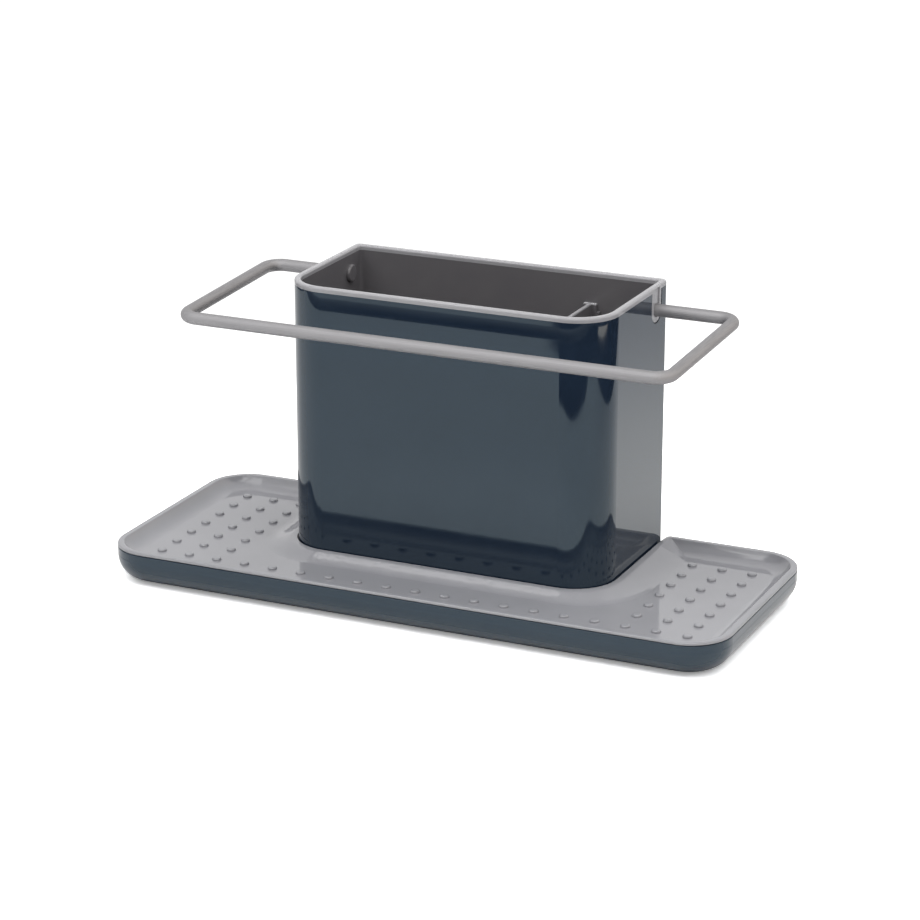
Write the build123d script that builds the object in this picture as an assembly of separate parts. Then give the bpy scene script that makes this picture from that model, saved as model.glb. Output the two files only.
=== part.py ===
from build123d import *
import os

# A kitchen sink caddy that stands free beside the sink. A dark drip base collects the water,
# a light drainer tray covers it, and a tall container for brushes stands on the tray's middle,
# its back flush with the tray's back edge. A bent wire round the front carries the dishcloth.
# Millimetres, +Z up, +Y to the back, the origin on the floor below the middle of the base.

# Whole caddy
caddy_length = 310.0
caddy_depth = 127.4
caddy_corner_radius = 21.0
overrun = 5.0

# Feet
foot_diameter = 14.0
foot_thickness = 1.8
foot_stand_off = 0.6
foot_edge = 0.3
foot_inset_x = 27.0
foot_inset_y = 25.0

# Drip base
base_top = 16.5
base_wall = 2.0
base_floor = 2.0
base_lower_round = 11.5
base_lip_round = 0.5
post_diameter = 8.0
post_bore = 4.0
post_from_container = 21.0
post_from_end = 39.0
post_row_place = 24.0

# Drainer tray
seam_gap = 0.4
rim_height = 1.2
rim_width = 3.2
rim_round = 0.9
rim_inner_round = 0.6
tray_floor_top = 12.6
tray_plate = 2.0
cove_inset = 11.7
tray_fit = 0.3
bump_pitch = 14.6
bump_from_end = 21.2
bump_from_front = 20.8
bump_diameter = 4.4
bump_height = 1.2
bump_round = 0.85
collar_gap = 0.8
collar_ledge = 2.6
collar_height = 3.7
collar_side_run = 14.0
collar_front_run = 7.4
collar_lip_share = 0.1
collar_foot_share = 0.45
rim_dip_run = 4.7
seat_slot_length = 16.0
seat_slot_width = 5.0
seat_slot_pitch_x = 24.0
seat_slot_pitch_y = 13.0
seat_slot_columns = 5
seat_slot_rows = 4
stiffener_depth = 3.0
stiffener_thickness = 1.6
stiffener_end_gap = 6.0

# Container
container_width = 162.0
container_front = -18.3
container_top = 145.0
container_front_radius = 20.5
container_back_radius = 3.0
shell_wall = 1.5
shell_flange_width = 6.0
shell_flange = 1.5
frame_width = 3.2
frame_height = 2.4
frame_round = 1.1
frame_inner_back_radius = 1.8
sleeve_gap = 0.3
liner_wall = 1.4
liner_floor = 1.8
liner_under_gap = 0.4
liner_floor_round = 1.5
liner_back_radius = 1.2
tongue_thickness = 0.8
tongue_height = 1.2
tongue_fit = 0.05
drain_hole_diameter = 4.5
drain_pitch_x = 11.0
drain_pitch_y = 10.0
drain_edge_margin = 12.0

# Cloth rail and what holds it
rail_diameter = 6.0
rail_from_end = 34.3
rail_reach = 90.7
rail_from_back = 14.3
rail_below_top = 11.5
rail_bend_radius = 8.0
rail_droop_degrees = 2.25
rail_fit = 0.1
rail_flat_width = 4.6
rail_flat_length = 1.8
rail_end_gap = 0.2
tab_width = 12.0
tab_recess = 0.1
tab_edge_round = 0.4
tab_border = 2.6
panel_depth = 0.5
notch_clearance = 0.4
boss_diameter = 9.0
boss_height = 1.8
boss_cap = 1.2
boss_round = 1.1

# Divider
divider_place = 43.7
divider_thickness = 1.8
divider_below_top = 14.8
divider_flange_width = 6.4
divider_flange_thickness = 1.6
divider_fit = 0.3
divider_edge_round = 0.6
divider_vent_length = 12.0
divider_vent_height = 4.0
divider_vent_pitch = 20.0
divider_vent_rise = 6.0
guide_thickness = 1.4
guide_depth = 3.2
guide_short_of_top = 4.0

# Heights and outlines that follow from the sizes above
rim_bottom = base_top + seam_gap
rim_top = rim_bottom + rim_height
plate_bottom = tray_floor_top - tray_plate
dish_depth = rim_top - tray_floor_top
back_edge = caddy_depth / 2
half_container = container_width / 2
container_depth = back_edge - container_front
container_middle = (back_edge + container_front) / 2
collar_top = tray_floor_top + collar_height
frame_bottom = container_top - frame_height
liner_inset = shell_wall + sleeve_gap
liner_bottom = tray_floor_top + shell_flange + liner_under_gap
liner_floor_top = liner_bottom + liner_floor
liner_inner_inset = liner_inset + liner_wall
tongue_inset = liner_inset + tongue_thickness
well_half = half_container + collar_gap
sill_half = well_half + collar_ledge
dip_half = well_half + rim_dip_run
pad_start = sill_half + collar_side_run
rail_radius = rail_diameter / 2
rail_half_width = caddy_length / 2 - rail_from_end
rail_pivot_y = back_edge - rail_from_back
rail_pivot_z = container_top - rail_below_top
divider_top = container_top - divider_below_top


def prism(length, depth, radius, bottom, top):
    """A rounded rectangle about the caddy's middle, from one height to another."""
    return Pos(0, 0, bottom) * extrude(RectangleRounded(length, depth, radius), top - bottom)


def caddy_prism(inset, bottom, top):
    """The caddy's own outline, drawn in by an inset."""
    length = caddy_length - 2 * inset
    depth = caddy_depth - 2 * inset
    return prism(length, depth, caddy_corner_radius - inset, bottom, top)


def block(x_low, x_high, y_low, y_high, z_low, z_high):
    """A square-edged block between two corners."""
    middle = Pos((x_low + x_high) / 2, (y_low + y_high) / 2, (z_low + z_high) / 2)
    return middle * Box(x_high - x_low, y_high - y_low, z_high - z_low)


def upright(diameter, x, y, bottom, top):
    """A round pin, post or bore that stands at a place."""
    return Pos(x, y, bottom) * extrude(Circle(diameter / 2), top - bottom)


def edges_at(part, height):
    """The edges that lie flat at one height."""
    return part.edges().filter_by_position(Axis.Z, height, height)


def container_outline(inset, back_radius):
    """The container's plan: large corners at the front, tight ones at the back."""
    outline = Rectangle(container_width - 2 * inset, container_depth - 2 * inset)
    corners = outline.vertices().sort_by(Axis.Y)
    outline = fillet(corners[:2], container_front_radius - inset)
    corners = outline.vertices().group_by(Axis.Y)[-1]
    outline = fillet(corners, back_radius)
    return Pos(0, container_middle) * outline


def container_prism(inset, back_radius, bottom, top):
    return Pos(0, 0, bottom) * extrude(container_outline(inset, back_radius), top - bottom)


def make_base():
    """An open dish with a deep round along its foot, posts that carry the tray, and a low back."""
    outside = caddy_prism(0, foot_stand_off, base_top)
    outside = fillet(edges_at(outside, foot_stand_off), base_lower_round)
    outside = fillet(edges_at(outside, base_top), base_lip_round)
    inner_floor = foot_stand_off + base_floor
    hollow = caddy_prism(base_wall, inner_floor, base_top + overrun)
    hollow = fillet(edges_at(hollow, inner_floor), base_lower_round - base_wall)
    base = outside - hollow
    for side in (-1, 1):
        for column in (half_container - post_from_container, caddy_length / 2 - post_from_end):
            for row in (-1, 1):
                x, y = side * column, row * post_row_place
                post = upright(post_diameter, x, y, inner_floor, plate_bottom)
                base += post - upright(post_bore, x, y, inner_floor, plate_bottom)
    low_half = sill_half + tray_fit
    base -= block(-low_half, low_half, back_edge - 2 * base_wall, back_edge + overrun,
                  plate_bottom - seam_gap, base_top + overrun)
    base -= rim_dip(rim_height + seam_gap, 2 * base_wall)
    for x, y in foot_places().values():
        base -= upright(foot_diameter, x, y, 0, foot_thickness)
    return base


def foot_places():
    x = caddy_length / 2 - foot_inset_x
    y = caddy_depth / 2 - foot_inset_y
    return {"front_left": (-x, -y), "front_right": (x, -y), "rear_left": (-x, y), "rear_right": (x, y)}


def make_foot(x, y):
    """A flat rubber disc let into the base's underside."""
    foot = upright(foot_diameter, x, y, 0, foot_thickness)
    return chamfer(edges_at(foot, 0), foot_edge)


def dish_cutter():
    """The tray's dish: a flat floor with a concave cove up to the rim's inner edge."""
    run = cove_inset - rim_width
    cove_radius = (run ** 2 + dish_depth ** 2) / (2 * dish_depth)
    inset = cove_inset - cove_radius
    cutter = caddy_prism(inset, tray_floor_top, tray_floor_top + 2 * cove_radius)
    return fillet(edges_at(cutter, tray_floor_top), cove_radius), inset, cove_radius


def collar_profile(edge, lift, foot):
    """Section of the collar, outwards from the container: a ledge, a round lip, a slope, a concave foot."""
    run = foot - edge
    top = collar_height + lift
    root = -tray_plate / 2
    ledge = Bezier((collar_gap, collar_height), ((collar_gap + edge) / 2, top), (edge, top))
    lip_pull = (edge + collar_lip_share * run, top)
    foot_pull = (foot - collar_foot_share * run, 0)
    slope = Bezier((edge, top), lip_pull, foot_pull, (foot, 0))
    below = Polyline((foot, 0), (foot, root), (collar_gap, root), (collar_gap, collar_height))
    return make_face(ledge + slope + below)


def make_collar():
    """The raised lip round the container, wider at its sides, where it rises to meet the back rim."""
    x = half_container
    z = tray_floor_top
    turn = container_front_radius
    corner = (x - turn, container_front + turn)
    edge = collar_gap + collar_ledge
    foot = edge + collar_side_run
    beside = collar_profile(edge, 0, foot)
    before = collar_profile(edge, 0, edge + collar_front_run)
    meeting = collar_profile(collar_gap + rim_dip_run, rim_top - collar_top, foot)
    rise_start = back_edge - cove_inset
    rise_end = back_edge - rim_width + rim_inner_round
    across = Plane((corner[0], container_front, z), x_dir=(0, -1, 0), z_dir=(-1, 0, 0))
    collar = extrude(across * before, 2 * corner[0])
    for out in (-1, 1):
        side, low, high = [Plane((out * x, y, z), x_dir=(out, 0, 0), z_dir=(0, -out, 0))
                           for y in (corner[1], rise_start, rise_end)]
        front = Plane((out * corner[0], container_front, z), x_dir=(0, -1, 0), z_dir=(-1, 0, 0))
        start = 180 if out < 0 else 270
        bend = Pos(out * corner[0], corner[1], z) * CenterArc((0, 0), turn, start, 90)
        ends = [side * beside, front * before]
        collar += sweep(ends if out < 0 else ends[::-1], path=bend, multisection=True)
        collar += extrude(side * beside, rise_start - corner[1], dir=(0, 1, 0))
        collar += loft([low * beside, high * meeting], ruled=True)
    return collar


def bump():
    """A low stud with a rounded top that keeps a wet sponge off the tray's floor."""
    top = tray_floor_top + bump_height
    stud = upright(bump_diameter, 0, 0, tray_floor_top - tray_plate / 2, top)
    return fillet(edges_at(stud, top), bump_round)


def bump_steps(reach):
    """How many even steps reach from the middle to the last bump, near the wanted pitch."""
    return max(1, round(reach / bump_pitch))


def bump_places():
    """Columns of bumps on both pads, in line with one row along the whole front."""
    reach_x = caddy_length / 2 - bump_from_end
    reach_y = caddy_depth / 2 - bump_from_front
    columns = bump_steps(reach_x)
    rows = bump_steps(reach_y)
    xs = [reach_x * step / columns for step in range(-columns, columns + 1)]
    ys = [reach_y * step / rows for step in range(-rows, rows + 1)]
    on_pad = [x for x in xs if abs(x) > pad_start + bump_diameter / 2]
    return [(x, ys[0]) for x in xs] + [(x, y) for y in ys[1:] for x in on_pad]


def rim_dip(drop, depth):
    """The space over the back rim, whose ends round down to the collar beside the container."""
    top = rim_top + overrun
    high = rim_top - drop
    low = collar_top - drop
    middle = (well_half + dip_half) / 2
    left = Bezier((-dip_half, high), (-middle, high), (-well_half, low))
    right = Bezier((dip_half, high), (middle, high), (well_half, low))
    flat = Line((-well_half, low), (well_half, low))
    sides = Polyline((-dip_half, high), (-dip_half, top), (dip_half, top), (dip_half, high))
    plane = Plane((0, back_edge + overrun, 0), x_dir=(1, 0, 0), z_dir=(0, -1, 0))
    return extrude(plane * make_face(left + flat + right + sides), depth + overrun)


def seat_slots():
    """Slots under the container that let its drips through to the base."""
    slot = SlotOverall(seat_slot_length, seat_slot_width)
    grid = GridLocations(seat_slot_pitch_x, seat_slot_pitch_y, seat_slot_columns, seat_slot_rows)
    face = Pos(0, container_middle) * Sketch([place * slot for place in grid])
    return Pos(0, 0, plate_bottom) * extrude(face, tray_plate)


def tray_rim():
    """The flat rim with its rounded outer edge, and the lip that follows the dip at the back."""
    rim = caddy_prism(0, rim_bottom, rim_top)
    rim = fillet(edges_at(rim, rim_top), rim_round)
    lip = block(-dip_half, dip_half, back_edge - rim_width, back_edge, collar_top - rim_height, rim_bottom)
    sill = block(-sill_half, sill_half, back_edge - rim_width, back_edge, plate_bottom, rim_bottom)
    return rim + (lip & rim_dip(rim_height, rim_width)) + sill


def stiffeners():
    """Two ribs under the seat, between its rows of slots."""
    reach = half_container - stiffener_end_gap
    half = stiffener_thickness / 2
    ribs = []
    for side in (-1, 1):
        y = container_middle + side * (seat_slot_rows / 2 - 1) * seat_slot_pitch_y
        ribs.append(block(-reach, reach, y - half, y + half, plate_bottom - stiffener_depth, plate_bottom))
    return ribs


def make_tray():
    """A dished tray with bumps, and a slotted seat for the container inside a raised collar."""
    dish, dish_inset, cove_radius = dish_cutter()
    skin = caddy_prism(dish_inset - tray_plate, plate_bottom, plate_bottom + 2 * (cove_radius + tray_plate))
    skin = fillet(edges_at(skin, plate_bottom), cove_radius + tray_plate)
    tray = skin & caddy_prism(base_wall + tray_fit, plate_bottom, rim_bottom)
    tray = tray + tray_rim() - dish
    flat_rim = tray.faces().sort_by(Axis.Z)[-1]
    tray = fillet(flat_rim.inner_wires()[0].edges(), rim_inner_round)
    plate = block(-sill_half, sill_half, container_middle, back_edge, plate_bottom, tray_floor_top)
    tray = tray + plate + make_collar()
    well = container_prism(-collar_gap, container_back_radius, tray_floor_top, rim_top + overrun)
    open_back = block(-well_half, well_half, container_middle, back_edge + overrun, tray_floor_top,
                      rim_top + overrun)
    tray = tray - well - open_back - rim_dip(0, cove_inset)
    dome = bump()
    tray += [Pos(x, y, 0) * dome for x, y in bump_places()]
    tray += stiffeners()
    return tray - seat_slots()


def rail_notch(clearance, depth_start, depth_end, side, top):
    """The round-ended upright slot at the rail's end, cut or filled from one depth to another."""
    half = tab_width / 2 + clearance
    disc = Circle(half)
    stem = Pos(0, (top - rail_pivot_z) / 2) * Rectangle(2 * half, top - rail_pivot_z)
    plane = Plane((side * (half_container - depth_end), rail_pivot_y, rail_pivot_z),
                  x_dir=(0, side, 0), z_dir=(side, 0, 0))
    return extrude(plane * (disc + stem), depth_end - depth_start)


def rail_bore(radius, x_start, x_end):
    """A round hole along the rail's end, between two distances from the middle."""
    return Pos((x_start + x_end) / 2, rail_pivot_y, rail_pivot_z) * Rot(0, 90, 0) * Cylinder(
        radius, abs(x_end - x_start))


def make_shell():
    """The dark sleeve, open above, with a flange turned in below and a notch each side."""
    outside = container_prism(0, container_back_radius, tray_floor_top, frame_bottom)
    inner_back_radius = container_back_radius - shell_wall
    hollow = container_prism(shell_wall, inner_back_radius, tray_floor_top + shell_flange, frame_bottom)
    window_inset = shell_wall + shell_flange_width
    window = container_prism(window_inset, inner_back_radius, tray_floor_top, frame_bottom)
    shell = outside - hollow - window
    for side in (-1, 1):
        shell -= rail_notch(notch_clearance, -overrun, liner_inset, side, frame_bottom)
    return shell


def make_frame():
    """The light frame that caps both walls, with a sunk tab each side that the rail goes through."""
    frame = container_prism(0, container_back_radius, frame_bottom, container_top)
    frame -= container_prism(frame_width, frame_inner_back_radius, frame_bottom, container_top)
    frame = fillet(edges_at(frame, container_top), frame_round)
    groove_top = frame_bottom + tongue_height + tongue_fit
    groove = container_prism(liner_inset - tongue_fit, liner_back_radius, frame_bottom, groove_top)
    groove -= container_prism(tongue_inset + tongue_fit, liner_back_radius - tongue_thickness,
                              frame_bottom, groove_top)
    frame -= groove
    for side in (-1, 1):
        tab = rail_notch(0, tab_recess, liner_inset - tongue_fit, side, frame_bottom)
        outer = tab.faces().sort_by(Axis.X)[0 if side < 0 else -1]
        rounded = [edge for edge in outer.edges() if edge.center().Z < frame_bottom - tab_edge_round]
        frame += fillet(rounded, tab_edge_round)
        frame -= rail_notch(-tab_border, -overrun, tab_recess + panel_depth, side,
                            container_top - frame_round)
        inner_end = side * (half_container - frame_width)
        frame -= rail_bore(rail_radius + rail_fit, inner_end, side * half_container)
    return frame


def drain_places():
    """A grid of small holes in the liner's floor, kept clear of the walls and the divider."""
    half_x = half_container - liner_inner_inset - drain_edge_margin
    half_y = container_depth / 2 - liner_inner_inset - drain_edge_margin
    columns = int(half_x / drain_pitch_x)
    rows = int(half_y / drain_pitch_y)
    keep_out = divider_flange_width / 2 + divider_fit + guide_thickness
    keep_out += drain_hole_diameter / 2
    places = []
    for column in range(-columns, columns + 1):
        for row in range(-rows, rows + 1):
            x = column * drain_pitch_x
            if abs(x - divider_place) > keep_out:
                places.append((x, container_middle + row * drain_pitch_y))
    return places


def rail_end_section(fit):
    """The rail's keyed end: a round with two flats."""
    return Circle(rail_radius + fit) & Rectangle(rail_diameter + 2 * fit, rail_flat_width + 2 * fit)


def rail_stub(fit, x_start, x_end, side):
    """A length of the keyed end, between two distances from the middle."""
    plane = Plane((side * x_start, rail_pivot_y, rail_pivot_z), x_dir=(0, side, 0), z_dir=(side, 0, 0))
    return extrude(plane * rail_end_section(fit), x_end - x_start)


def make_liner():
    """The inner cup, with a drained floor, a blind boss each side and guides for the divider."""
    outer = container_prism(liner_inset, liner_back_radius, liner_bottom, frame_bottom)
    tongue = container_prism(liner_inset, liner_back_radius, frame_bottom, frame_bottom + tongue_height)
    inner_radius = frame_inner_back_radius
    hollow = container_prism(liner_inner_inset, inner_radius, liner_floor_top, frame_bottom)
    tongue -= container_prism(tongue_inset, liner_back_radius - tongue_thickness, frame_bottom,
                              frame_bottom + tongue_height)
    liner = outer - hollow + tongue
    liner = fillet(edges_at(liner, liner_floor_top), liner_floor_round)
    hole_face = Sketch([Pos(x, y) * Circle(drain_hole_diameter / 2) for x, y in drain_places()])
    liner -= Pos(0, 0, liner_bottom) * extrude(hole_face, liner_floor)
    inner_face = half_container - liner_inner_inset
    for side in (-1, 1):
        start = inner_face - boss_height
        boss = rail_bore(boss_diameter / 2, side * start, side * (inner_face + liner_wall / 2))
        tip = boss.faces().sort_by(Axis.X)[-1 if side < 0 else 0]
        liner += fillet(tip.edges(), boss_round)
        liner -= rail_bore(rail_radius + rail_fit, side * (start + boss_cap + rail_flat_length),
                           side * (inner_face + 2 * liner_wall))
        liner -= rail_stub(rail_fit, start + boss_cap, start + boss_cap + rail_flat_length, side)
    for guide in divider_guides():
        liner += guide
    return liner


def divider_guides():
    """Two upright ribs on each wall, either side of the divider's flange."""
    guides = []
    offset = divider_flange_width / 2 + divider_fit
    top = divider_top - guide_short_of_top
    front = container_front + liner_inner_inset
    back = back_edge - liner_inner_inset
    for side in (-1, 1):
        near = divider_place + side * offset
        far = near + side * guide_thickness
        x_low, x_high = min(near, far), max(near, far)
        for y_low, y_high in ((front - liner_wall / 2, front + guide_depth),
                              (back - guide_depth, back + liner_wall / 2)):
            guides.append(block(x_low, x_high, y_low, y_high, liner_floor_top - liner_floor / 2, top))
    return guides


def make_rail():
    """One bent wire: in at one side, round the front and in at the other, drooping a little."""
    x_end = half_container - liner_inner_inset - boss_height + boss_cap + rail_end_gap
    side = rail_half_width
    path = Polyline((-x_end - rail_flat_length, 0), (-side, 0), (-side, -rail_reach), (side, -rail_reach),
                    (side, 0), (x_end + rail_flat_length, 0))
    corners = [v for v in path.vertices() if abs(abs(v.X) - side) < rail_radius]
    path = fillet(corners, rail_bend_radius)
    start = Plane((-x_end - rail_flat_length, 0, 0), x_dir=(0, 1, 0), z_dir=(-1, 0, 0))
    wire = sweep(start * Circle(rail_radius), path=path)
    wire = Pos(0, rail_pivot_y, rail_pivot_z) * Rot(rail_droop_degrees, 0, 0) * wire
    for end in (-1, 1):
        wire += rail_stub(0, x_end, x_end + rail_flat_length, end)
    return wire


def make_divider():
    """A thin upright panel with a flange at each end and low vents for water."""
    front = container_front + liner_inner_inset + divider_fit
    back = back_edge - liner_inner_inset - divider_fit
    foot = liner_floor_top + liner_floor_round + divider_fit
    half_thickness = divider_thickness / 2
    half_flange = divider_flange_width / 2
    panel = block(-half_thickness, half_thickness, front, back, foot, divider_top)
    rest = block(-half_thickness, half_thickness, front + liner_floor_round + divider_fit,
                 back - liner_floor_round - divider_fit, liner_floor_top, foot)
    divider = panel + rest
    for near, far in ((front, front + divider_flange_thickness), (back - divider_flange_thickness, back)):
        divider += block(-half_flange, half_flange, near, far, foot, divider_top)
    divider = fillet(edges_at(divider, divider_top), divider_edge_round)
    vent = SlotOverall(divider_vent_length, divider_vent_height)
    for place in (-1, 0, 1):
        plane = Plane((-half_thickness, container_middle + place * divider_vent_pitch,
                       liner_floor_top + divider_vent_rise), x_dir=(0, 1, 0), z_dir=(1, 0, 0))
        divider -= extrude(plane * vent, divider_thickness)
    return Pos(divider_place, 0, 0) * divider


def write(name, shape):
    export_step(shape, "parts/" + name + ".step")


os.makedirs("parts", exist_ok=True)
write("drip_base", make_base())
for place, (foot_x, foot_y) in foot_places().items():
    write("foot_" + place, make_foot(foot_x, foot_y))
write("drainer_tray", make_tray())
write("container_shell", make_shell())
write("rim_frame", make_frame())
write("container_liner", make_liner())
write("cloth_rail", make_rail())
write("divider", make_divider())
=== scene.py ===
import math

import bpy
import numpy as np
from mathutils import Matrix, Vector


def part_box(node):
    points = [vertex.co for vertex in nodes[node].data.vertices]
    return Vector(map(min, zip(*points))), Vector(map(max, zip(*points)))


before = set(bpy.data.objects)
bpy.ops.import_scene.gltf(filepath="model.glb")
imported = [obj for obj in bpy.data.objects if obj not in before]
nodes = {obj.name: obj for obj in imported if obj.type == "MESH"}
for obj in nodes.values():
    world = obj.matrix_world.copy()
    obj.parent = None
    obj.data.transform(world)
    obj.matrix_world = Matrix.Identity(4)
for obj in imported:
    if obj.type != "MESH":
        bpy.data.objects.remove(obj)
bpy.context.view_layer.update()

scene = bpy.context.scene
scene.view_settings.view_transform = "Standard"

# ---- Camera
# A long lens stands to the caddy's right and a little above it, as in the photograph. Its place
# was fitted to the object's straight edges, so it needs no shift.
degrees_down, degrees_left = 18.531, 24.567
camera = bpy.data.objects.new("camera", bpy.data.cameras.new("camera"))
scene.collection.objects.link(camera)
scene.camera = camera
camera.data.sensor_width = 36.0
camera.data.lens = 120.63
camera.data.clip_start = 0.05
camera.data.clip_end = 50.0
camera.location = (0.57112, -1.24237, 0.52216)
camera.rotation_euler = (math.radians(90 - degrees_down), 0.0, math.radians(degrees_left))


# ---- White table
# A white acrylic sheet lit so hard that it burns out to plain white: only where the caddy
# shades it strongly does a tight shadow stay. Beyond a fade the sheet glows evenly instead, and
# gloss sees it a little dimmer to the left and far behind, where less light falls on it.
def linear(colour):
    """An sRGB hex colour as the linear RGBA that a socket takes."""
    part = np.array([int(colour[i:i + 2], 16) for i in (1, 3, 5)]) / 255
    value = np.where(part <= 0.04045, part / 12.92, ((part + 0.055) / 1.055) ** 2.4)
    return (*value, 1.0)


def add(tree, kind, inputs=(), **settings):
    """Adds a node, sets it, and gives each input a value, an output or a node's first output."""
    made = tree.nodes.new("ShaderNode" + kind)
    for name, value in settings.items():
        setattr(made, name, value)
    for name, value in dict(inputs).items():
        if isinstance(value, bpy.types.Node):
            value = value.outputs[0]
        if isinstance(value, bpy.types.NodeSocket):
            tree.links.new(value, made.inputs[name])
        else:
            made.inputs[name].default_value = value
    return made


def new_material(name):
    """A named material with an empty tree, and the surface's own coordinates in metres."""
    made = bpy.data.materials.new(name)
    made.use_nodes = True
    made.node_tree.nodes.clear()
    return made, made.node_tree, add(made.node_tree, "TexCoord").outputs["Object"]


def ray_kinds(tree):
    """The kinds of ray, and one for all that show a surface: camera, mirror and see-through."""
    path = add(tree, "LightPath")
    seen = add(tree, "Math", {0: path.outputs["Is Camera Ray"], 1: path.outputs["Is Glossy Ray"]},
               operation="MAXIMUM")
    shown = add(tree, "Math", {0: seen, 1: path.outputs["Is Transmission Ray"]},
                operation="MAXIMUM")
    return path, shown


# A Mix node gives its number and its colour sockets the same names, so they go by their places.
number_a, number_b = 2, 3
colour_a, colour_b, mixed_colour = 6, 7, 2

# Where each share of the sheet begins and where it is full, in metres along an axis or from the
# middle, and how bright each kind of ray finds the sheet.
sheet_reach = 8.0
front_y, left_x, behind_distance = (0.02, -0.16), (0.05, -0.35), (0.20, 0.55)
camera_fade, mirror_fade, even_distance = (0.26, 0.46), (0.15, 0.26), (0.3, 0.75)
light_gain, view_gain, gloss_gain = 0.75, 1.45, 1.12
view_glow, far_glow = 0.28, (1.4, 1.08)

sheet_mesh = bpy.data.meshes.new("white_sheet")
corners = [(x * sheet_reach, y * sheet_reach, 0) for x, y in ((-1, -1), (1, -1), (1, 1), (-1, 1))]
sheet_mesh.from_pydata(corners, [], [(0, 1, 2, 3)])
sheet = bpy.data.objects.new("white_sheet", sheet_mesh)
scene.collection.objects.link(sheet)

acrylic, tree, place = new_material("white_acrylic")
path, shown = ray_kinds(tree)
mirror = path.outputs["Is Glossy Ray"]
axes = add(tree, "SeparateXYZ", {0: place})
distance = add(tree, "VectorMath", {0: place}, operation="LENGTH").outputs["Value"]

# Its colour: white, but for a mirror ray painted dimmer by place: painted shade where less light
# falls.
in_front = add(tree, "MapRange", {"Value": axes.outputs["Y"], "From Min": front_y[0],
                                  "From Max": front_y[1]}, interpolation_type="SMOOTHSTEP")
to_left = add(tree, "MapRange", {"Value": axes.outputs["X"], "From Min": left_x[0],
                                 "From Max": left_x[1]}, interpolation_type="SMOOTHSTEP")
far_off = add(tree, "MapRange", {"Value": distance, "From Min": behind_distance[0],
                                 "From Max": behind_distance[1]},
              interpolation_type="SMOOTHSTEP")
behind = add(tree, "Mix", {"Factor": far_off, colour_a: linear("#FFFDFB"),
                           colour_b: linear("#D7D7D9")}, data_type="RGBA")
sides = add(tree, "Mix", {"Factor": to_left, colour_a: behind.outputs[mixed_colour],
                          colour_b: linear("#ECECEC")}, data_type="RGBA")
in_gloss = add(tree, "Mix", {"Factor": in_front, colour_a: sides.outputs[mixed_colour],
                             colour_b: linear("#FFFFFF")}, data_type="RGBA")
colour = add(tree, "Mix", {"Factor": mirror, colour_a: linear("#FFFFFF"),
                           colour_b: in_gloss.outputs[mixed_colour]},
             data_type="RGBA").outputs[mixed_colour]

# Near the caddy it is lit, with a little glow for the camera.
seen_gain = add(tree, "Mix", {"Factor": shown, number_a: light_gain, number_b: view_gain})
gain = add(tree, "Mix", {"Factor": mirror, number_a: seen_gain, number_b: gloss_gain})
matt_colour = add(tree, "VectorMath", {0: colour, "Scale": gain}, operation="SCALE")
matt = add(tree, "BsdfDiffuse", {"Color": matt_colour})
glow_strength = add(tree, "Math", {0: path.outputs["Is Camera Ray"], 1: view_glow},
                    operation="MULTIPLY")
glow = add(tree, "Emission", {"Color": linear("#FFFFFF"), "Strength": glow_strength})
lit = add(tree, "AddShader", {0: matt, 1: glow})

# Farther off it only glows, for every ray that shows it.
far_strength = add(tree, "MapRange", {"Value": distance, "From Min": even_distance[0],
                                      "From Max": even_distance[1], "To Min": far_glow[0],
                                      "To Max": far_glow[1]}, interpolation_type="SMOOTHSTEP")
white = add(tree, "Emission", {"Color": colour, "Strength": far_strength})
camera_edge = add(tree, "MapRange", {"Value": distance, "From Min": camera_fade[0],
                                     "From Max": camera_fade[1]},
                  interpolation_type="SMOOTHSTEP")
mirror_edge = add(tree, "MapRange", {"Value": distance, "From Min": mirror_fade[0],
                                     "From Max": mirror_fade[1]},
                  interpolation_type="SMOOTHSTEP")
edge = add(tree, "Mix", {"Factor": mirror, number_a: camera_edge, number_b: mirror_edge})
far_shown = add(tree, "Math", {0: edge, 1: shown}, operation="MULTIPLY")
add(tree, "OutputMaterial", {"Surface": add(tree, "MixShader", {0: far_shown, 1: lit, 2: white})})
sheet_mesh.materials.append(acrylic)

# ---- White room
# Pale walls all round give an even fill, stronger from behind than from the front. Gloss sees
# a bright front wall and a warm window on the right.
fill_from_front, fill_from_behind = 0.32, 0.47
side_wall, front_wall, window_strength = 1.0, 1.45, 1.6
fill_y, front_wall_y, window_x = (-0.9, 0.9), (-0.1, -0.7), (0.15, 0.7)
world = bpy.data.worlds.new("white_room")
world.use_nodes = True
scene.world = world
tree = world.node_tree
tree.nodes.clear()
_, shown = ray_kinds(tree)
axes = add(tree, "SeparateXYZ", {0: add(tree, "TexCoord").outputs["Generated"]})
fill_strength = add(tree, "MapRange", {"Value": axes.outputs["Y"], "From Min": fill_y[0],
                                       "From Max": fill_y[1], "To Min": fill_from_front,
                                       "To Max": fill_from_behind},
                    interpolation_type="SMOOTHSTEP")
fill = add(tree, "Background", {"Color": linear("#FFFFFF"), "Strength": fill_strength})
window = add(tree, "MapRange", {"Value": axes.outputs["X"], "From Min": window_x[0],
                                "From Max": window_x[1]}, interpolation_type="SMOOTHSTEP")
wall_strength = add(tree, "MapRange", {"Value": axes.outputs["Y"], "From Min": front_wall_y[0],
                                       "From Max": front_wall_y[1], "To Min": side_wall,
                                       "To Max": front_wall}, interpolation_type="SMOOTHSTEP")
room_strength = add(tree, "Mix", {"Factor": window, number_a: wall_strength,
                                  number_b: window_strength})
room_colour = add(tree, "Mix", {"Factor": window, colour_a: linear("#FFFFFF"),
                                colour_b: linear("#FFF9F1")}, data_type="RGBA")
room = add(tree, "Background", {"Color": room_colour.outputs[mixed_colour],
                                "Strength": room_strength})
add(tree, "OutputWorld", {"Surface": add(tree, "MixShader", {0: shown, 1: fill, 2: room})})


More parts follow.
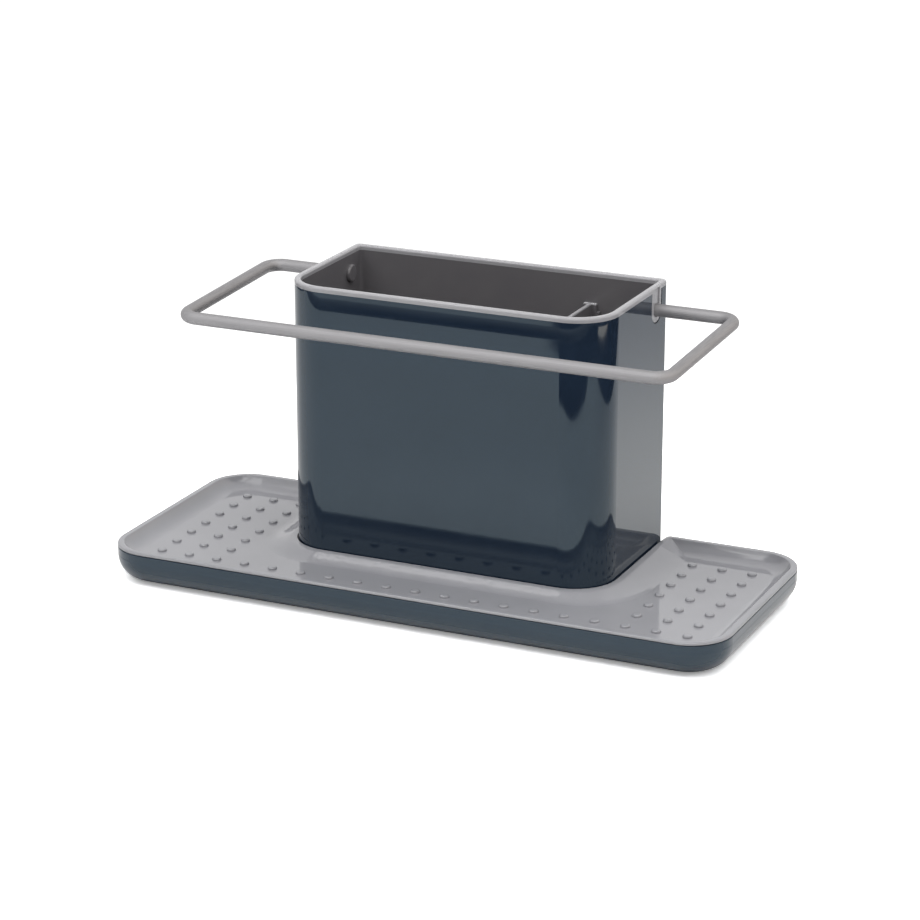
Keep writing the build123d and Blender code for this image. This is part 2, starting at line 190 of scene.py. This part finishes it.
# ---- Softboxes
# Three large ones hang high round the caddy and light it evenly. Gloss sees two others beside
# them, which give the soft patches in the tray's back coves and along its front.
def soft_light(name, place, aim, size, radiance, in_gloss):
    """A rectangular softbox at a place, turned to a point, with an even radiance."""
    lamp = bpy.data.lights.new(name, "AREA")
    lamp.shape = "RECTANGLE"
    lamp.size, lamp.size_y = size
    lamp.energy = radiance * math.pi * size[0] * size[1]
    lamp_object = bpy.data.objects.new(name, lamp)
    scene.collection.objects.link(lamp_object)
    along = np.array(aim) - np.array(place)
    tilt = math.acos(-along[2] / np.linalg.norm(along))
    turn = math.atan2(along[1], along[0]) - math.pi / 2 if tilt > 0 else 0.0
    lamp_object.location = place
    lamp_object.rotation_euler = (tilt, 0.0, turn)
    lamp_object.visible_glossy = in_gloss
    lamp_object.visible_diffuse = not in_gloss


soft_light("left_softbox", place=(-0.46, -0.50, 1.25), aim=(0, 0, 0), size=(1.15, 1.15),
           radiance=3.1, in_gloss=False)
soft_light("right_softbox", place=(0.75, -0.55, 1.15), aim=(0, 0, 0.05), size=(1.0, 1.0),
           radiance=3.0, in_gloss=False)
soft_light("back_softbox", place=(0.45, 0.55, 1.20), aim=(0.1, 0, 0), size=(0.8, 0.8),
           radiance=2.5, in_gloss=False)
soft_light("wide_softbox", place=(-0.08, -0.66, 1.25), aim=(-0.08, -0.66, 0), size=(1.36, 1.0),
           radiance=1.9, in_gloss=True)
soft_light("middle_softbox", place=(-0.51, -0.04, 1.25), aim=(-0.51, -0.04, 0),
           size=(0.42, 0.14), radiance=2.2, in_gloss=True)

# ---- Dark room beyond the sheet
# Beyond the sheet's edges the room is dark, and one lamp stands there. Only gloss sees them, on
# the container's right front corner; their outlines, in millimetres, are traced back to the
# floor from there.
mm = 0.001


def gloss_card(name, outline, lift, material):
    """A flat card at a height over the sheet, which only mirror rays see."""
    mesh = bpy.data.meshes.new(name)
    points = [(x * mm, y * mm, lift) for x, y in outline]
    mesh.from_pydata(points, [], [tuple(range(len(points)))])
    mesh.materials.append(material)
    card = bpy.data.objects.new(name, mesh)
    scene.collection.objects.link(card)
    card.visible_camera = card.visible_diffuse = card.visible_shadow = False


dark_lift = 0.4 * mm
dark_cards = {
    "dark_room_front": [(-52, -338), (32, -334), (132, -312), (242, -284), (313, -256),
                        (372, -247), (388, -264), (600, -480), (600, -1200), (-400, -1200),
                        (-118, -431)],
    "dark_room_corner": [(388, -264), (459, -122), (516, -235), (600, -480)],
    "dark_room_right": [(453, -103), (418, 23), (388, 100), (353, 205), (328, 288), (311, 364),
                        (316, 425), (340, 600), (900, 600), (900, -100), (516, -235),
                        (459, -122)],
}
dark_cloth, tree, _ = new_material("dark_room")
dark = add(tree, "Emission", {"Color": linear("#30343A"), "Strength": 1.0})
add(tree, "OutputMaterial", {"Surface": dark})
for name, outline in dark_cards.items():
    gloss_card(name, outline, dark_lift, dark_cloth)

lamp_outline = [(535, -128), (572, -68), (586, 20), (574, 96), (545, 152)]
lamp_glass, tree, _ = new_material("lamp_glass")
lamp = add(tree, "Emission", {"Color": linear("#FFE8D9"), "Strength": 3.4})
add(tree, "OutputMaterial", {"Surface": lamp})
gloss_card("distant_lamp", lamp_outline, 2 * dark_lift, lamp_glass)

# ---- Feet
# Four discs of black moulded rubber, pressed into the base's underside. Rubber is dull, and its
# skin is finely pitted by the spark-eroded mould; the real pits are finer than a pixel, so they
# are drawn 0.5 mm wide.
noise_low, noise_high = 0.3, 0.7


def per_metre(millimetres):
    """The noise scale whose grains are this wide."""
    return 1000 / millimetres


def shade(tree, factor, dark, light):
    """A colour between two hex colours, for a noise that keeps mostly to its usual range."""
    share = add(tree, "MapRange", {"Value": factor, "From Min": noise_low, "From Max": noise_high})
    return add(tree, "Mix", {"Factor": share, colour_a: linear(dark), colour_b: linear(light)},
               data_type="RGBA").outputs[mixed_colour]


def dress(name, material):
    """Puts one material on a CAD node."""
    mesh = nodes[name].data
    mesh.materials.clear()
    mesh.materials.append(material)


pit_width, pit_depth, rubber_cloud = 0.5, 0.03 * mm, 6.0
rubber, tree, place = new_material("moulded_rubber")
pits = add(tree, "TexNoise", {"Vector": place, "Scale": per_metre(pit_width)})
cloud = add(tree, "TexNoise", {"Vector": place, "Scale": per_metre(rubber_cloud)})
skin = add(tree, "Bump", {"Height": pits, "Distance": pit_depth})
shader = add(tree, "BsdfPrincipled", {"Base Color": shade(tree, cloud, "#1B1B1C", "#252526"),
                                      "Roughness": 0.7, "IOR": 1.52, "Normal": skin})
add(tree, "OutputMaterial", {"Surface": shader})
for corner in ("front_left", "front_right", "rear_left", "rear_right"):
    dress("foot_" + corner, rubber)


# ---- Drip base
# Injection-moulded ABS in dark slate from a mirror-polished mould: sharp reflections, a hardly
# visible waviness where the wall shrank in cooling, a few faint wipe marks and a parting line.
def polished_abs(name, dark, light, roughness, tint, parting_line=None):
    """High-gloss ABS: a cloudy colour, duller wipe marks, a wavy surface and a mould's line."""
    cloud_width, wipe_width, wave_width = 30.0, 9.0, 26.0
    wipe_stretch, wipe_turn, wipe_share = (1.0, 0.35, 0.8), (0.2, 0.1, 0.5), (0.45, 0.8)
    wipe_roughness = roughness + 0.05
    wave_height, line_width, line_height = 0.012 * mm, 0.25 * mm, 4.0
    made, tree, place = new_material(name)
    cloud = add(tree, "TexNoise", {"Vector": place, "Scale": per_metre(cloud_width)})
    wiped = add(tree, "Mapping", {"Vector": place, "Scale": wipe_stretch, "Rotation": wipe_turn})
    wipes = add(tree, "TexNoise", {"Vector": wiped, "Scale": per_metre(wipe_width),
                                   "Detail": 4.0})
    dull = add(tree, "MapRange", {"Value": wipes, "From Min": wipe_share[0],
                                  "From Max": wipe_share[1], "To Min": roughness,
                                  "To Max": wipe_roughness})
    height = add(tree, "TexNoise", {"Vector": place, "Scale": per_metre(wave_width),
                                    "Detail": 0.0})
    if parting_line is not None:
        level = add(tree, "SeparateXYZ", {0: place}).outputs["Z"]
        line = add(tree, "MapRange", {"Value": level, "From Min": parting_line - line_width,
                                      "From Max": parting_line + line_width,
                                      "To Min": line_height, "To Max": 0.0},
                   interpolation_type="SMOOTHSTEP")
        height = add(tree, "Math", {0: height, 1: line}, operation="ADD")
    waves = add(tree, "Bump", {"Height": height, "Distance": wave_height})
    # The specular tint colours what the surface mirrors; a tint other than white is painted
    # reflection colour.
    shader = add(tree, "BsdfPrincipled", {"Base Color": shade(tree, cloud, dark, light),
                                          "Roughness": dull, "IOR": 1.53,
                                          "Specular Tint": linear(tint), "Normal": waves})
    add(tree, "OutputMaterial", {"Surface": shader})
    return made


parting_line = 12.8 * mm
# The slate's blue specular tint is a painted reflection colour, for the bluish light in front of
# the caddy.
slate = {"dark": "#1A2534", "light": "#1D2837", "roughness": 0.045, "tint": "#E2F8FF"}
dress("drip_base", polished_abs("polished_abs_slate_base", **slate, parting_line=parting_line))

# ---- Drainer tray
# The same ABS in light grey. Its floor mirrors the container and the bright backdrop, and the
# rounded bumps carry a crisp dark crescent on their near side.
light_grey = {"dark": "#8B8B8F", "light": "#909094", "roughness": 0.055, "tint": "#FFFFFF"}
dress("drainer_tray", polished_abs("polished_abs_light_grey", **light_grey))

# ---- Container shell
# A tall moulded sleeve of the slate ABS, as glossy as the base: it mirrors the tray round its
# foot and the rail round its top. It stands in the tray's well.
dress("container_shell", polished_abs("polished_abs_slate", **slate))


# ---- Container liner
# The inside is polypropylene in a warmer, darker grey with a satin skin: it shows the divider
# and the rim only as soft streaks. It hangs in the shell by its top edge. The satin's grain is
# finer than a pixel, so it is drawn 0.6 mm wide.
def satin_pp(name, painted_light_above=None):
    """Satin polypropylene in a warm grey, cloudy and slightly worn, with painted light above a
    height.
    """
    cloud_width, wear_width, grain_width, grain_depth = 22.0, 5.0, 0.6, 0.0015 * mm
    least_rough, most_rough = 0.16, 0.22
    made, tree, place = new_material(name)
    cloud = add(tree, "TexNoise", {"Vector": place, "Scale": per_metre(cloud_width)})
    wear = add(tree, "TexNoise", {"Vector": place, "Scale": per_metre(wear_width), "Detail": 3.0})
    satin = add(tree, "MapRange", {"Value": wear, "From Min": noise_low, "From Max": noise_high,
                                   "To Min": least_rough, "To Max": most_rough})
    grain = add(tree, "TexNoise", {"Vector": place, "Scale": per_metre(grain_width)})
    skin = add(tree, "Bump", {"Height": grain, "Distance": grain_depth})
    colour = shade(tree, cloud, "#5F5D60", "#646264")
    # Above the height the colour is painted paler: painted light for the light that falls on a top
    # edge.
    if painted_light_above is not None:
        level = add(tree, "SeparateXYZ", {0: place}).outputs["Z"]
        painted_light_mask = add(tree, "Math", {0: level, 1: painted_light_above}, operation="GREATER_THAN")
        pale = shade(tree, cloud, "#969598", "#9B9A9D")
        colour = add(tree, "Mix", {"Factor": painted_light_mask, colour_a: colour, colour_b: pale},
                     data_type="RGBA").outputs[mixed_colour]
    shader = add(tree, "BsdfPrincipled", {"Base Color": colour, "Roughness": satin, "IOR": 1.49,
                                          "Normal": skin})
    add(tree, "OutputMaterial", {"Surface": shader})
    return made


dress("container_liner", satin_pp("satin_pp_warm_grey"))

# ---- Divider
# A thin moulded plate, slid down between the liner's guides. Its faces are as dark as the liner,
# but its top edge, 0.9 mm deep, is painted as light as the rim frame: painted light on its lit
# top.
# The depth of the painted light along the divider's top edge.
painted_light_depth = 0.9 * mm
divider_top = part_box("divider")[1][2]
dress("divider", satin_pp("satin_pp_painted_top_light", painted_light_above=divider_top - painted_light_depth))

# ---- Rim frame
# The ABS frame that caps the container, snapped over the top edges of shell and liner, with a
# tab that hangs in each side notch and carries the rail. It looks a little paler than the tray.
rim_grey = {"dark": "#969598", "light": "#9B9A9D", "roughness": 0.055, "tint": "#FFFFFF"}
dress("rim_frame", polished_abs("polished_abs_rim_grey", **rim_grey))

# ---- Cloth rail
# One bent 6 mm stainless wire, brushed along its length, so that its highlight is drawn out
# into a soft band with fine streaks. The real scratches are finer than a pixel, so they are
# drawn 0.35 mm wide.
rail_wire, rail_side = 6 * mm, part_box("cloth_rail")[1][0]
scratch_width, scratch_depth, scratch_stretch = 0.35, 0.012 * mm, 0.02
least_rough, most_rough = 0.60, 0.72
steel, tree, place = new_material("brushed_stainless_steel")
along_x = add(tree, "Mapping", {"Vector": place, "Scale": (scratch_stretch, 1.0, 1.0)})
along_y = add(tree, "Mapping", {"Vector": place, "Scale": (1.0, scratch_stretch, 1.0)})
front_scratches = add(tree, "TexNoise", {"Vector": along_x, "Scale": per_metre(scratch_width),
                                         "Detail": 3.0})
side_scratches = add(tree, "TexNoise", {"Vector": along_y, "Scale": per_metre(scratch_width),
                                        "Detail": 3.0})
axes = add(tree, "SeparateXYZ", {0: place})
across = add(tree, "Math", {0: axes.outputs["X"]}, operation="ABSOLUTE")
on_side = add(tree, "MapRange", {"Value": across, "From Min": rail_side - 2 * rail_wire,
                                 "From Max": rail_side - rail_wire},
              interpolation_type="SMOOTHSTEP")
scratches = add(tree, "Mix", {"Factor": on_side, number_a: front_scratches,
                              number_b: side_scratches})
dull = add(tree, "MapRange", {"Value": scratches, "From Min": noise_low, "From Max": noise_high,
                              "To Min": least_rough, "To Max": most_rough})
skin = add(tree, "Bump", {"Height": scratches, "Distance": scratch_depth})
shader = add(tree, "BsdfPrincipled", {"Base Color": shade(tree, scratches, "#929193", "#A3A2A4"),
                                      "Roughness": dull, "Metallic": 1.0, "Normal": skin})
add(tree, "OutputMaterial", {"Surface": shader})
dress("cloth_rail", steel)
